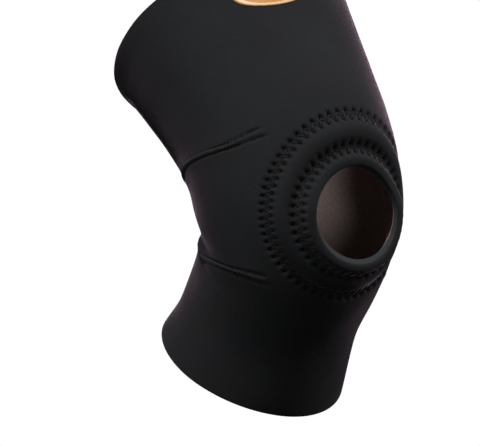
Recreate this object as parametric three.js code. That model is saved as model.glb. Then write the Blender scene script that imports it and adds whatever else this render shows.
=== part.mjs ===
// Pull-on knee support: a pre-bent neoprene sleeve with an open patella hole and a ring pad round it.
// Millimetres. +Z runs up the leg, -Y is the kneecap side, X is across the leg.
// The origin is the centre of the leg in the middle of the knee's bend.

import * as THREE from 'three';

const degrees = THREE.MathUtils.degToRad;

// The leg's centreline: straight calf, smooth bend, straight thigh. Stations run along it from the knee.
const CALF_END = -110;
const THIGH_END = 130;
const CALF_TILT = degrees(32);
const THIGH_TILT = degrees(37);
const BEND_REACH = 61.5;

// Half sizes of the sleeve's outside, square to the centreline, at five stations.
const SECTIONS = [
  { station: -110, front: 61.5, back: 59.5, side: 60.5 },
  { station: -60, front: 54, back: 53.5, side: 56.5 },
  { station: 0, front: 64.5, back: 60.5, side: 64.5 },
  { station: 65, front: 66.5, back: 66.5, side: 68.5 },
  { station: 130, front: 71.5, back: 86, side: 77 },
];

// The laminate: foam with its outer jersey, and the lining inside it.
const FOAM = 3.2;
const LINING = 0.6;
const GAP = 0.3;

// The patella hole and what surrounds it, as radii along the surface up and down the leg.
// Round the leg the same rings are wider, and the larger a ring is, the higher its centre lies.
const HOLE_RADIUS = 29;
const INNER_STITCH_RADIUS = 39;
const OUTER_STITCH_RADIUS = 57;
const POCKET_INNER_RADIUS = 41.5;
const POCKET_OUTER_RADIUS = 54.6;
const RING_WIDENING = 1.065;
const RING_DROP = 11.2;
const RING_RISE = 0.125;
const PAD_BULGE = 2.4;
const PAD_POCKET = 2.5;
const PAD_SLACK = 0.6;

// The field round the hole leans in at the top and out at the bottom. Inside it the hole's lip
// turns up from the leg, all round except at the top.
const FIELD_SINK = 1;
const FIELD_LEAN = 2.5;
const LIP_TURN = 4.5;
const LIP_INNER_RADIUS = 34;
const LIP_OUTER_RADIUS = 45;

// Rings of points round the hole, from its edge outwards.
const PANEL_RADII = [HOLE_RADIUS, LIP_INNER_RADIUS, POCKET_INNER_RADIUS, 45, 48.5, 51.6, POCKET_OUTER_RADIUS];
const PAD_RADII = [43, 45, 48.5, 51.6, 53.2];

// Bands of zigzag stitching, as raised flat strips.
const STITCH_BAND = 4.5;
const STITCH_BASE = 0.5;
const STITCH_HEIGHT = 0.6;

// Where the sleeve is cut into panels: stations at the front and at the back.
const THIGH_EDGE = { front: 56, back: 84 };
const KNEE_TOP = { front: 34, back: 47 };
const KNEE_BOTTOM = { front: -44, back: -52 };
const CALF_EDGE = { front: -62, back: -86 };

// Stitched darts, from the centre back round to the front, and the seam down the back.
// A dart keeps one station at the front and spreads away from the knee behind.
const UPPER_DART = { station: 26.5, spread: 13 };
const LOWER_DART = { station: -32, spread: -13 };
const DART_FRONT = degrees(45.5);
const SPREAD_START = degrees(62);
const SPREAD_END = degrees(136);
const BACK_SEAM_HALF_WIDTH = 2.5;
const SEAM_CLEARANCE = 0.6;

// The blank oval badge on the front of the thigh, a little to its left.
const BADGE = { station: 105.5, angle: degrees(-17), length: 50, height: 24, thickness: 0.8 };

// Mesh fineness.
const AROUND = 40;
const FIELD_COLUMNS = 16;
const PANEL_ROWS = 3;
const KNEE_ROWS = 6;
const DART_STEPS = 20;
const BADGE_RINGS = 2;
const BADGE_AROUND = 24;
const CENTRE_STEPS = 60;
const FACE_STEPS = 12;

const clamp = THREE.MathUtils.clamp;
const lerp = THREE.MathUtils.lerp;
const smoothstep = THREE.MathUtils.smoothstep;

// ---------------------------------------------------------------- the sleeve's surface

function tiltAt(station) {
  return lerp(-CALF_TILT, THIGH_TILT, smoothstep(station, -BEND_REACH, BEND_REACH));
}

// A point of the centreline, by adding up short steps from the origin.
function centreAt(station) {
  const step = station / CENTRE_STEPS;
  let y = 0;
  let z = 0;
  for (let i = 0; i < CENTRE_STEPS; i += 1) {
    const tilt = tiltAt((i + 0.5) * step);
    y += Math.sin(tilt) * step;
    z += Math.cos(tilt) * step;
  }
  return { y, z };
}

// A smooth curve through the sections' values for one half size.
function halfSize(which, station) {
  const s = clamp(station, CALF_END, THIGH_END);
  let i = 0;
  while (i < SECTIONS.length - 2 && s > SECTIONS[i + 1].station) {
    i += 1;
  }
  const slope = (k) => {
    const a = SECTIONS[Math.max(k - 1, 0)];
    const b = SECTIONS[Math.min(k + 1, SECTIONS.length - 1)];
    return (b[which] - a[which]) / (b.station - a.station);
  };
  const [below, above] = [SECTIONS[i], SECTIONS[i + 1]];
  const length = above.station - below.station;
  const t = (s - below.station) / length;
  const rise = above[which] - below[which];
  const startBow = slope(i) * length - rise;
  const endBow = rise - slope(i + 1) * length;
  return lerp(below[which], above[which], t) + t * (1 - t) * (startBow * (1 - t) + endBow * t);
}

// A point of the outer face. The angle is 0 at the kneecap, positive towards +X.
function facePoint(station, angle) {
  const centre = centreAt(station);
  const tilt = tiltAt(station);
  const side = Math.cos(angle) > 0 ? 'front' : 'back';
  const depth = halfSize(side, station) * Math.cos(angle);
  const x = halfSize('side', station) * Math.sin(angle);
  return new THREE.Vector3(x, centre.y - depth * Math.cos(tilt), centre.z + depth * Math.sin(tilt));
}

const NUDGE = { station: 0.5, angle: 0.005 };

function alongLeg(station, angle) {
  return facePoint(station + NUDGE.station, angle).sub(facePoint(station - NUDGE.station, angle));
}

function alongRound(station, angle) {
  return facePoint(station, angle + NUDGE.angle).sub(facePoint(station, angle - NUDGE.angle));
}

// The same point raised square off the face by lift.
function raisedPoint(station, angle, lift) {
  const inside = clamp(station, CALF_END + NUDGE.station, THIGH_END - NUDGE.station);
  const normal = alongRound(inside, angle).cross(alongLeg(inside, angle)).normalize();
  const rim = { [CALF_END]: -CALF_TILT, [THIGH_END]: THIGH_TILT }[station];
  if (rim !== undefined) {
    const axis = new THREE.Vector3(0, Math.sin(rim), Math.cos(rim));
    normal.addScaledVector(axis, -normal.dot(axis)).normalize();
  }
  return facePoint(station, angle).addScaledVector(normal, lift);
}

// Millimetres of face for each millimetre of station: over 1 on the kneecap side, far under 1 behind.
function stretchAt(station, angle) {
  return alongLeg(station, angle).length() / (2 * NUDGE.station);
}

function roundRadius(station, angle) {
  return alongRound(station, angle).length() / (2 * NUDGE.angle);
}

// The station a given distance up the face from another one.
function stationAbove(station, angle, distance) {
  let s = station;
  for (let i = 0; i < FACE_STEPS; i += 1) {
    s += distance / FACE_STEPS / stretchAt(s, angle);
  }
  return s;
}

// Distance along the kneecap line from the origin's level up to a station.
function frontArc(station) {
  const step = station / FACE_STEPS;
  let arc = 0;
  for (let i = 0; i < FACE_STEPS; i += 1) {
    arc += step * stretchAt((i + 0.5) * step, 0);
  }
  return arc;
}

function kneeRadius(station) {
  return (halfSize('front', station) + halfSize('side', station)) / 2;
}

// A point of the ring with this radius round the patella hole. Bearing 0 is straight up.
function holePoint(radius, bearing) {
  const station = stationAbove(0, 0, radius * (Math.cos(bearing) + RING_RISE) - RING_DROP);
  const angle = RING_WIDENING * radius * Math.sin(bearing) / kneeRadius(station);
  return { station, angle, radius, bearing };
}

// The bearing of a point, on the ring that passes through it.
function bearingOf({ station, angle }) {
  const up = frontArc(station) + RING_DROP;
  const across = angle * kneeRadius(station) / RING_WIDENING;
  const left = 1 - RING_RISE ** 2;
  const radius = (Math.sqrt((up * RING_RISE) ** 2 + left * (up ** 2 + across ** 2)) - up * RING_RISE) / left;
  return Math.atan2(across, up - RING_RISE * radius);
}

// ---------------------------------------------------------------- patches of the surface

// A patch is a list of points, each with its station and angle, and triangles that face out.

function quad(a, b, c, d) {
  return [[a, b, c], [a, c, d]];
}

// The station of a line that differs from front to back.
function edgeStation(edge, angle) {
  return lerp(edge.front, edge.back, (1 - Math.cos(angle)) / 2);
}

// Half the gap between two panels, as a step in station.
function halfGap(station, angle) {
  return GAP / 2 / stretchAt(station, angle);
}

function insetAbove(edge, angle) {
  const station = edgeStation(edge, angle);
  return station + halfGap(station, angle);
}

function insetBelow(edge, angle) {
  const station = edgeStation(edge, angle);
  return station - halfGap(station, angle);
}

// Each panel's lower and upper line, from the calf's rim to the thigh's.
const LINES = {
  calf: [() => CALF_END, (angle) => insetBelow(CALF_EDGE, angle)],
  lower_bend: [(angle) => insetAbove(CALF_EDGE, angle), (angle) => insetBelow(KNEE_BOTTOM, angle)],
  knee: [(angle) => insetAbove(KNEE_BOTTOM, angle), (angle) => insetBelow(KNEE_TOP, angle)],
  upper_bend: [(angle) => insetAbove(KNEE_TOP, angle), (angle) => insetBelow(THIGH_EDGE, angle)],
  thigh: [(angle) => insetAbove(THIGH_EDGE, angle), () => THIGH_END],
};

// Rows of points from a lower line to an upper line, at the given angles.
function gridPoints(lower, upper, angles, rows) {
  const points = [];
  for (let row = 0; row <= rows; row += 1) {
    for (const angle of angles) {
      points.push({ station: lerp(lower(angle), upper(angle), row / rows), angle });
    }
  }
  return points;
}

// A grid whose last column joins its first when closed is true.
function gridPatch(lower, upper, angles, rows, closed) {
  const columns = closed ? angles.length : angles.length - 1;
  const faces = [];
  for (let row = 0; row < rows; row += 1) {
    for (let column = 0; column < columns; column += 1) {
      const next = (column + 1) % angles.length;
      const [low, high] = [row * angles.length, (row + 1) * angles.length];
      faces.push(...quad(low + column, low + next, high + next, high + column));
    }
  }
  return { points: gridPoints(lower, upper, angles, rows), faces };
}

function roundAngles() {
  return Array.from({ length: AROUND }, (_, i) => (i / AROUND - 0.5) * 2 * Math.PI);
}

function tubePatch(lower, upper, rows) {
  return gridPatch(lower, upper, roundAngles(), rows, true);
}

// Rings of points at the given radii from the hole's centre, one for each bearing.
function ringPatch(radii, bearings) {
  const count = bearings.length;
  const points = radii.flatMap((radius) => bearings.map((bearing) => holePoint(radius, bearing)));
  const faces = [];
  for (let ring = 0; ring < radii.length - 1; ring += 1) {
    for (let k = 0; k < count; k += 1) {
      const next = (k + 1) % count;
      const [low, high] = [ring * count, (ring + 1) * count];
      faces.push(...quad(low + k, low + next, high + next, high + k));
    }
  }
  return { points, faces };
}

// The border of the knee panel's front field: grid columns and rows, clockwise from its top left.
function fieldBorder(first, last, rows) {
  const border = [];
  for (let column = first; column < last; column += 1) {
    border.push([rows, column]);
  }
  for (let row = rows; row > 0; row -= 1) {
    border.push([row, last]);
  }
  for (let column = last; column > first; column -= 1) {
    border.push([0, column]);
  }
  for (let row = 0; row < rows; row += 1) {
    border.push([row, first]);
  }
  return border.map(([row, column]) => row * AROUND + column);
}

// The knee panel's tube, the border of its front field, and that border's bearings from the hole.
function kneeField() {
  const tube = tubePatch(...LINES.knee, KNEE_ROWS);
  const first = AROUND / 2 - FIELD_COLUMNS / 2;
  const last = AROUND / 2 + FIELD_COLUMNS / 2;
  const border = fieldBorder(first, last, KNEE_ROWS);
  const bearings = border.map((index) => bearingOf(tube.points[index]));
  return { tube, first, last, border, bearings };
}

// The knee panel: a tube whose front field is rings round the patella hole.
function kneePatch() {
  const { tube, first, last, border, bearings } = kneeField();
  const rings = ringPatch(PANEL_RADII, bearings);
  const offset = tube.points.length;
  const outermost = offset + rings.points.length - border.length;
  const inField = (index) => index % AROUND >= first && index % AROUND <= last;
  const faces = tube.faces.filter((face) => !face.every(inField));
  for (const face of rings.faces) {
    faces.push(face.map((index) => index + offset));
  }
  border.forEach((corner, k) => {
    const next = (k + 1) % border.length;
    faces.push(...quad(outermost + k, outermost + next, border[next], corner));
  });
  return { points: [...tube.points, ...rings.points], faces };
}

// An oval on the face, its length across the leg.
function ovalPatch({ station, angle, length, height }) {
  const radius = roundRadius(station, angle);
  const points = [{ station, angle }];
  for (let ring = 1; ring <= BADGE_RINGS; ring += 1) {
    const share = ring / BADGE_RINGS;
    for (let k = 0; k < BADGE_AROUND; k += 1) {
      const turn = k / BADGE_AROUND * 2 * Math.PI;
      const across = length / 2 * share * Math.sin(turn);
      const up = height / 2 * share * Math.cos(turn);
      points.push({ station: station + up, angle: angle + across / radius });
    }
  }
  const faces = [];
  for (let k = 0; k < BADGE_AROUND; k += 1) {
    const inner = 1 + k;
    const nextInner = 1 + (k + 1) % BADGE_AROUND;
    faces.push([0, nextInner, inner]);
    faces.push(...quad(inner, nextInner, nextInner + BADGE_AROUND, inner + BADGE_AROUND));
  }
  return { points, faces };
}

// ---------------------------------------------------------------- solids

// How far the leaning field and the turned-up lip carry a point off the face.
// The lean fades out across the pad, and the lip towards the pad's inner rim.
function lipLift({ radius = Infinity, bearing = 0 }) {
  const field = 1 - smoothstep(radius, POCKET_INNER_RADIUS, POCKET_OUTER_RADIUS);
  const lip = clamp((LIP_OUTER_RADIUS - radius) / (LIP_OUTER_RADIUS - LIP_INNER_RADIUS), 0, 1);
  const turned = LIP_TURN * smoothstep(1 - Math.cos(bearing), 0, 1);
  return lip * turned - field * (FIELD_SINK + FIELD_LEAN * Math.cos(bearing));
}

// A patch made solid between two lifts off the face, as one closed body.
function thicken(patch, outerLift, innerLift) {
  const used = [...new Set(patch.faces.flat())];
  const newIndex = new Map(used.map((index, i) => [index, i]));
  const count = used.length;
  const positions = [];
  for (const lift of [outerLift, innerLift]) {
    for (const index of used) {
      const point = patch.points[index];
      const place = raisedPoint(point.station, point.angle, lift(point) + lipLift(point));
      positions.push(place.x, place.y, place.z);
    }
  }
  const edges = new Map();
  const triangles = [];
  for (const face of patch.faces) {
    const [a, b, c] = face.map((index) => newIndex.get(index));
    triangles.push(a, b, c, a + count, c + count, b + count);
    for (const [from, to] of [[a, b], [b, c], [c, a]]) {
      edges.set(`${from} ${to}`, [from, to]);
    }
  }
  for (const [from, to] of edges.values()) {
    if (!edges.has(`${to} ${from}`)) {
      triangles.push(to, from, from + count, to, from + count, to + count);
    }
  }
  const geometry = new THREE.BufferGeometry();
  geometry.setAttribute('position', new THREE.Float32BufferAttribute(positions, 3));
  geometry.setIndex(triangles);
  geometry.computeVertexNormals();
  return geometry;
}

// How full the pad is at a radius from the hole's centre: 1 in the middle of the ring, 0 at its seams.
function padFullness(radius = Infinity) {
  const middle = (POCKET_INNER_RADIUS + POCKET_OUTER_RADIUS) / 2;
  const t = (radius - middle) / (POCKET_OUTER_RADIUS - middle);
  return Math.max(0, 1 - t * t);
}

const onFace = () => 0;
const underPanel = (point) => PAD_BULGE * padFullness(point.radius) - FOAM;
const overLining = (point) => -FOAM - GAP - PAD_POCKET * padFullness(point.radius);

function panelSolid(patch) {
  return thicken(patch, (point) => underPanel(point) + FOAM, underPanel);
}

function liningSolid(patch) {
  return thicken(patch, overLining, (point) => overLining(point) - LINING);
}

function padSolid() {
  return thicken(
    ringPatch(PAD_RADII, kneeField().bearings),
    (point) => underPanel(point) - PAD_SLACK,
    (point) => overLining(point) + PAD_SLACK,
  );
}

// A flat raised band of stitching.
function stitchSolid(patch) {
  return thicken(patch, () => STITCH_BASE + STITCH_HEIGHT, () => STITCH_BASE);
}

function stitchRing(radius) {
  const radii = [radius - STITCH_BAND / 2, radius + STITCH_BAND / 2];
  return stitchSolid(ringPatch(radii, kneeField().bearings));
}

// A dart's band, from just beside the back seam round to its front end. side is -1 or 1.
function dartSolid(dart, side) {
  const back = Math.PI - (BACK_SEAM_HALF_WIDTH + SEAM_CLEARANCE) / roundRadius(dart.station, Math.PI);
  const ends = side > 0 ? [DART_FRONT, back] : [-back, -DART_FRONT];
  const angles = Array.from({ length: DART_STEPS + 1 }, (_, i) => lerp(...ends, i / DART_STEPS));
  const middle = (angle) => {
    return dart.station + dart.spread * smoothstep(Math.abs(angle), SPREAD_START, SPREAD_END);
  };
  const half = (angle) => STITCH_BAND / 2 / stretchAt(middle(angle), angle);
  const lower = (angle) => middle(angle) - half(angle);
  const upper = (angle) => middle(angle) + half(angle);
  return stitchSolid(gridPatch(lower, upper, angles, 1, false));
}

function backSeamSolid(lower, upper, rows) {
  const half = BACK_SEAM_HALF_WIDTH / roundRadius(0, Math.PI);
  const angles = [Math.PI - half, Math.PI, Math.PI + half];
  return stitchSolid(gridPatch(lower, upper, angles, rows, false));
}

// ---------------------------------------------------------------- the parts

const JERSEY = { color: 0x101113, roughness: 0.85, metalness: 0 };
const INSIDE = { color: 0x3a3230, roughness: 0.9, metalness: 0 };
const PADDING = { color: 0x1a1a1c, roughness: 0.95, metalness: 0 };
const THREAD = { color: 0x0b0b0d, roughness: 0.7, metalness: 0 };
const TRANSFER = { color: 0xa8772e, roughness: 0.5, metalness: 0 };

const brace = new THREE.Group();

function add(name, geometry, finish) {
  const mesh = new THREE.Mesh(geometry, new THREE.MeshStandardMaterial(finish));
  mesh.name = name;
  brace.add(mesh);
}

for (const [region, [lower, upper]] of Object.entries(LINES)) {
  const rows = region === 'knee' ? KNEE_ROWS : PANEL_ROWS;
  const patch = region === 'knee' ? kneePatch() : tubePatch(lower, upper, rows);
  add(`${region}_panel`, panelSolid(patch), JERSEY);
  add(`${region}_lining`, liningSolid(patch), INSIDE);
  add(`${region}_back_seam`, backSeamSolid(lower, upper, rows), THREAD);
}

add('patella_buttress_pad', padSolid(), PADDING);
add('inner_ring_stitching', stitchRing(INNER_STITCH_RADIUS), THREAD);
add('outer_ring_stitching', stitchRing(OUTER_STITCH_RADIUS), THREAD);
for (const [side, name] of [[-1, 'left'], [1, 'right']]) {
  add(`upper_${name}_dart`, dartSolid(UPPER_DART, side), THREAD);
  add(`lower_${name}_dart`, dartSolid(LOWER_DART, side), THREAD);
}
const badgeTop = () => STITCH_BASE + BADGE.thickness;
add('oval_badge', thicken(ovalPatch(BADGE), badgeTop, () => STITCH_BASE), TRANSFER);

export default brace;
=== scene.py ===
"""A pull-on knee support: pre-bent neoprene sleeve, open patella hole, stitched-in ring pad.

The sleeve's surface is a formula in two coordinates: the station along the leg's centreline, in mm
from the knee, and the angle round it, 0 at the kneecap and positive towards +X.
Every cloth piece is a patch of that surface, raised off it by a relief: pad, lip, seams and pits.
"""
import math

import bmesh
import bpy
import numpy as np
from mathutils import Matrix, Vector


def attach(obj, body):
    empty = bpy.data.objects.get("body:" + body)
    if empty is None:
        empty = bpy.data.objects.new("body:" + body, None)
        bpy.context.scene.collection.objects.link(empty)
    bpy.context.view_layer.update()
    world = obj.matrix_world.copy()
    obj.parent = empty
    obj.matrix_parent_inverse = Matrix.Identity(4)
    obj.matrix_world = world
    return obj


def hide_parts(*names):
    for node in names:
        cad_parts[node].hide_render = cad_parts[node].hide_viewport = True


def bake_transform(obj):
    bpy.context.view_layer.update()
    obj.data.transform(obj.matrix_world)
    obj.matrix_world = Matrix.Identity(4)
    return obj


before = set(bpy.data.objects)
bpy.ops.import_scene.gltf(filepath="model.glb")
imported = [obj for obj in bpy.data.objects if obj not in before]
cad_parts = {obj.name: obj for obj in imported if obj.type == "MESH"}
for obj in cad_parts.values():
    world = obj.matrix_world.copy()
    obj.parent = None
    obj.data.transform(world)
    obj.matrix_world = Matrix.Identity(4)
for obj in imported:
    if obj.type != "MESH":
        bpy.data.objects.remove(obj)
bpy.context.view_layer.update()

MM = 0.001

# -------------------- driving dimensions, mm and radians

CALF_END = -110.0
THIGH_END = 130.0
CALF_TILT = math.radians(32)
THIGH_TILT = math.radians(37)
BEND_REACH = 61.5

# Half sizes of the outside, square to the centreline: station, front, back, side.
SECTIONS = [
    (-110, 61.5, 59.5, 60.5),
    (-60, 54.0, 53.5, 56.5),
    (0, 64.5, 60.5, 64.5),
    (65, 66.5, 66.5, 68.5),
    (130, 71.5, 86.0, 77.0),
]
FRONT, BACK, SIDE = 1, 2, 3

FOAM = 3.2
LINING = 0.6

# The patella hole and its rings, as radii up and down the leg. Round the leg they are wider,
# and the larger a ring is, the higher its centre lies.
HOLE_RADIUS = 29.0
INNER_STITCH = 39.0
OUTER_STITCH = 57.0
POCKET = (41.5, 54.6)
PAD_RIM = (43.0, 53.2)
RING_WIDENING = 1.065
RING_DROP = 11.2
RING_RISE = 0.125
FIELD_SINK = 1.0
FIELD_LEAN = 2.5
LIP_TURN = 4.5
LIP_TURN_RADII = (34.0, 45.0)
HOLE_BEVEL = 2.2
LINING_TRIM = 0.8
PAD_BULGE = 2.4
PAD_POCKET = 2.5
PAD_SLACK = 0.4

# Rings are told apart as far round the leg as this angle. Behind it everything is far away.
RING_REACH = math.radians(85)
FAR = 200.0

STITCH_BAND = 4.5
RING_THREAD = 0.30
FINE_THREAD = 0.20
RING_PITCH = 5.6
SEAM_PITCH = 4.0
DART_PITCH = 2.6

# Where the three cloth pieces meet, at the front and at the back.
KNEE_TOP = (34.0, 47.0)
KNEE_BOTTOM = (-44.0, -52.0)

# Darts: a station at the front, and how far they spread from the knee behind.
UPPER_DART = (26.5, 13.0)
LOWER_DART = (-32.0, -13.0)
DART_FRONT = math.radians(45.5)
SPREAD = (math.radians(62), math.radians(136))
DART_BAND = 3.2
DART_FORK = 2.2

# Fineness: points round the outer face, and across the field that holds the patella hole.
# The face inside the cloth is coarser by COARSE, and the lining has a count of its own.
AROUND = 360
FIELD = 144
COARSE = 4
THIGH_ROWS, CALF_ROWS = 80, 56
UNDER_ROWS = {"tube": 16, "knee": 12}
LINING_AROUND, LINING_FIELD, LINING_ROWS = 180, 72, 40


# -------------------- the sleeve's surface

def smooth(t):
    t = np.clip(t, 0, 1)
    return t * t * (3 - 2 * t)


def tilt_at(station):
    """The centreline's lean: it eases from the calf's to the thigh's on both sides of the knee."""
    t = np.clip(station / BEND_REACH, -1, 1)
    return -CALF_TILT + (CALF_TILT + THIGH_TILT) * (0.5 + 0.75 * t - 0.25 * t**3)


def half_size(which, station):
    """A smooth curve through the sections' values for one half size."""
    at = np.array([row[0] for row in SECTIONS], float)
    value = np.array([row[which] for row in SECTIONS], float)
    last = len(at) - 1
    low, high = np.maximum(np.arange(last + 1) - 1, 0), np.minimum(np.arange(last + 1) + 1, last)
    slope = (value[high] - value[low]) / (at[high] - at[low])
    s = np.clip(station, CALF_END, THIGH_END)
    i = np.clip(np.searchsorted(at, s, side="right") - 1, 0, last - 1)
    length = at[i + 1] - at[i]
    t = (s - at[i]) / length
    rise = value[i + 1] - value[i]
    p, q = slope[i] * length - rise, rise - slope[i + 1] * length
    return value[i] + rise * t + t * (1 - t) * (p * (1 - t) + q * t)


# The centreline, and arc lengths along the front and the back, as fine tables over the station.
TABLE_STEP, TABLE_MARGIN = 0.25, 5.0
TABLE = np.arange(CALF_END - TABLE_MARGIN, THIGH_END + TABLE_MARGIN + TABLE_STEP / 2, TABLE_STEP)


def summed(slope):
    """The running sum of a slope over the table, from zero at the knee."""
    total = np.concatenate([[0], np.cumsum((slope[1:] + slope[:-1]) / 2 * np.diff(TABLE))])
    return total - np.interp(0, TABLE, total)


CENTRE_Y = summed(np.sin(tilt_at(TABLE)))
CENTRE_Z = summed(np.cos(tilt_at(TABLE)))


def face_point(station, angle):
    """A point of the plain surface: an oval of half sizes, square to the centreline."""
    station, angle = np.broadcast_arrays(np.asarray(station, float), np.asarray(angle, float))
    tilt = tilt_at(station)
    ahead = np.cos(angle) > 0
    depth = np.where(ahead, half_size(FRONT, station), half_size(BACK, station)) * np.cos(angle)
    x = half_size(SIDE, station) * np.sin(angle)
    y = np.interp(station, TABLE, CENTRE_Y) - depth * np.cos(tilt)
    z = np.interp(station, TABLE, CENTRE_Z) + depth * np.sin(tilt)
    return np.stack([x, y, z], -1)


# Small steps of station and of angle, over which the surface's slopes are taken.
STEP_S, STEP_U = 0.5, 0.005


def along_leg(station, angle):
    return (face_point(station + STEP_S, angle) - face_point(station - STEP_S, angle)) / (2 * STEP_S)


def along_round(station, angle):
    return (face_point(station, angle + STEP_U) - face_point(station, angle - STEP_U)) / (2 * STEP_U)


def stretch(station, angle):
    return np.linalg.norm(along_leg(station, angle), axis=-1)


def radius_of(station, angle):
    return np.linalg.norm(along_round(station, angle), axis=-1)


def unit(v):
    return v / np.maximum(np.linalg.norm(v, axis=-1, keepdims=True), 1e-12)


def normal_at(station, angle):
    """Square off the face, and kept in the cut's plane at the two rims."""
    inside = np.clip(station, CALF_END + STEP_S, THIGH_END - STEP_S)
    n = unit(np.cross(along_round(inside, angle), along_leg(inside, angle)))
    rim = (station <= CALF_END + STEP_S) | (station >= THIGH_END - STEP_S)
    tilt = tilt_at(station)
    axis = np.stack([0 * tilt, np.sin(tilt), np.cos(tilt)], -1)
    flat = unit(n - axis * (n * axis).sum(-1, keepdims=True))
    return np.where(rim[..., None], flat, n)


def raised(station, angle, lift):
    """Points lifted off the face, with the lean of the lip round the hole added."""
    station, angle = np.broadcast_arrays(np.asarray(station, float), np.asarray(angle, float))
    off = np.asarray(lift) + lip_lean(station, angle)
    return face_point(station, angle) + normal_at(station, angle) * off[..., None]


FRONT_ARC = summed(stretch(TABLE, 0.0 * TABLE))
BACK_ARC = summed(stretch(TABLE, 0.0 * TABLE + math.pi))


def knee_radius(station):
    return (half_size(FRONT, station) + half_size(SIDE, station)) / 2


def hole_point(radius, bearing):
    """Station and angle of a point of the ring with this radius round the patella hole."""
    station = np.interp(radius * (np.cos(bearing) + RING_RISE) - RING_DROP, FRONT_ARC, TABLE)
    return station, RING_WIDENING * radius * np.sin(bearing) / knee_radius(station)


def hole_polar(station, angle):
    """Radius and bearing of the ring that passes through a point. Far away behind the leg."""
    up = np.interp(station, TABLE, FRONT_ARC) + RING_DROP
    across = angle * knee_radius(station) / RING_WIDENING
    left = 1 - RING_RISE**2
    radius = (np.sqrt((up * RING_RISE) ** 2 + left * (up**2 + across**2)) - up * RING_RISE) / left
    bearing = np.arctan2(across, up - RING_RISE * radius)
    return np.where(np.abs(angle) < RING_REACH, radius, FAR), bearing


def lip_lean(station, angle):
    """The field round the hole leans in at the top, and its lip turns up all round but there."""
    radius, bearing = hole_polar(station, angle)
    field = 1 - smooth((radius - POCKET[0]) / (POCKET[1] - POCKET[0]))
    first, last = LIP_TURN_RADII
    lip = 1 - smooth((radius - first) / (last - first))
    turned = LIP_TURN * smooth(1 - np.cos(bearing))
    return lip * turned - field * (FIELD_SINK + FIELD_LEAN * np.cos(bearing))


# -------------------- relief: mm off the plain surface

def bell(distance, width):
    return np.exp(-(distance / width) ** 2)


def fullness(radius):
    """How full the pad is: 1 in the middle of the ring, 0 at its seams."""
    middle, half = sum(POCKET) / 2, (POCKET[1] - POCKET[0]) / 2
    return np.maximum(0, 1 - ((radius - middle) / half) ** 2)


# The raised ring's slopes start this far inside the two seams, and are this wide.
SLOPE_START = 0.5
INNER_SLOPE, OUTER_SLOPE = 6.0, 9.5
FLATTER_BELOW = 0.4


def pad_profile(radius, bearing):
    """The pad seen through the stretched jersey: a soft rounded ring, flatter below the hole."""
    inner = smooth((radius - INNER_STITCH - SLOPE_START) / INNER_SLOPE)
    outer = smooth((OUTER_STITCH - SLOPE_START - radius) / OUTER_SLOPE)
    return PAD_BULGE * inner * outer * (1 - FLATTER_BELOW * smooth(-np.cos(bearing)))


LIP_CREST, LIP_HEIGHT, LIP_WIDTH = 33.4, 1.2, 3.4
LIP_ROLL, LIP_ROLL_DROP = 1.6, 1.0


def lip_profile(radius):
    """The rounded lip between the hole and the inner seam, rolled over at the cut edge."""
    lip = LIP_HEIGHT * bell(radius - LIP_CREST, LIP_WIDTH)
    over = np.clip((HOLE_RADIUS + LIP_ROLL - radius) / LIP_ROLL, 0, 1)
    return lip - LIP_ROLL_DROP * (1 - np.sqrt(1 - over**2))


# Crossed waves: their depth, and each wave's radians per mm along X, Y and Z, and its phase.
WRINKLES = [
    (0.70, [(1 / 17, 0, 0, 1.3), (0, 0, 1 / 23, 0.4), (0, 1 / 29, 0, 2.1)]),
    (0.22, [(1 / 9.5, 1 / 13, 0, 0.7), (0, -1 / 15, 1 / 11, 1.9)]),
    (0.10, [(1 / 21, 0, 1 / 6.1, 0.2), (-1 / 17, 1 / 8.3, 0, 3.0)]),
]


def wrinkles(place):
    """The slow unevenness of soft cloth."""
    total = 0
    for depth, waves in WRINKLES:
        product = depth
        for x, y, z, phase in waves:
            product = product * np.sin(place @ np.array([x, y, z]) + phase)
        total = total + product
    return total


# A stitch's parts as shares of its pitch.
PIT_WIDTH, PIT_LENGTH = 0.2, 0.3
FURROW_WIDTH = 0.12
FURROW_DEPTH = 0.2


def zigzag(along, across, pitch, half):
    """Needle holes in two staggered rows, and the furrows that the thread pulls between them.

    along and across are mm from a hole of the lower row and from the seam's middle.
    """
    pits = 0
    for row, shift in ((-1, 0.0), (1, 0.5)):
        turn = along / pitch + shift
        away = (turn - np.round(turn)) * pitch
        pits = pits + bell(away, PIT_WIDTH * pitch) * bell(across - row * half, PIT_LENGTH * pitch)
    wave = 4 * np.abs(along / pitch - np.round(along / pitch)) - 1
    steep = math.cos(math.atan(4 * half / pitch))
    furrow = bell((across - wave * half) * steep, FURROW_WIDTH * pitch) * (np.abs(across) < half)
    return pits, furrow


def ring_pitches(radius):
    return round(2 * math.pi * radius / RING_PITCH)


# How deep and how wide the stitched valleys are, and how far from its middle a seam is worked out.
RING_VALLEY = (0.8, 2.9)
BACK_VALLEY = (0.6, 2.6)
BACK_PIT_SHARE = 0.8
SEAM_REACH = 6.0


def ring_seam(radius, bearing, middle):
    """Depth of a ring's stitched valley, and its needle holes."""
    depth, width = RING_VALLEY
    along = bearing / (2 * math.pi) * ring_pitches(middle) * RING_PITCH
    pits, furrow = zigzag(along, radius - middle, RING_PITCH, STITCH_BAND / 2)
    near = np.abs(radius - middle) < SEAM_REACH
    return depth * bell(radius - middle, width) + FURROW_DEPTH * furrow * near, pits * near


def back_seam(station, angle):
    """Depth and needle holes of the seam down the back."""
    depth, width = BACK_VALLEY
    across = (math.pi - np.abs(angle)) * np.where(angle < 0, 1, -1) * radius_of(station, angle)
    along = np.interp(station, TABLE, BACK_ARC)
    near = np.abs(across) < SEAM_REACH
    pits, furrow = zigzag(along, across, SEAM_PITCH, STITCH_BAND / 2)
    valley = depth * bell(across, width) + FURROW_DEPTH * furrow * near
    return valley, BACK_PIT_SHARE * pits * near


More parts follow.
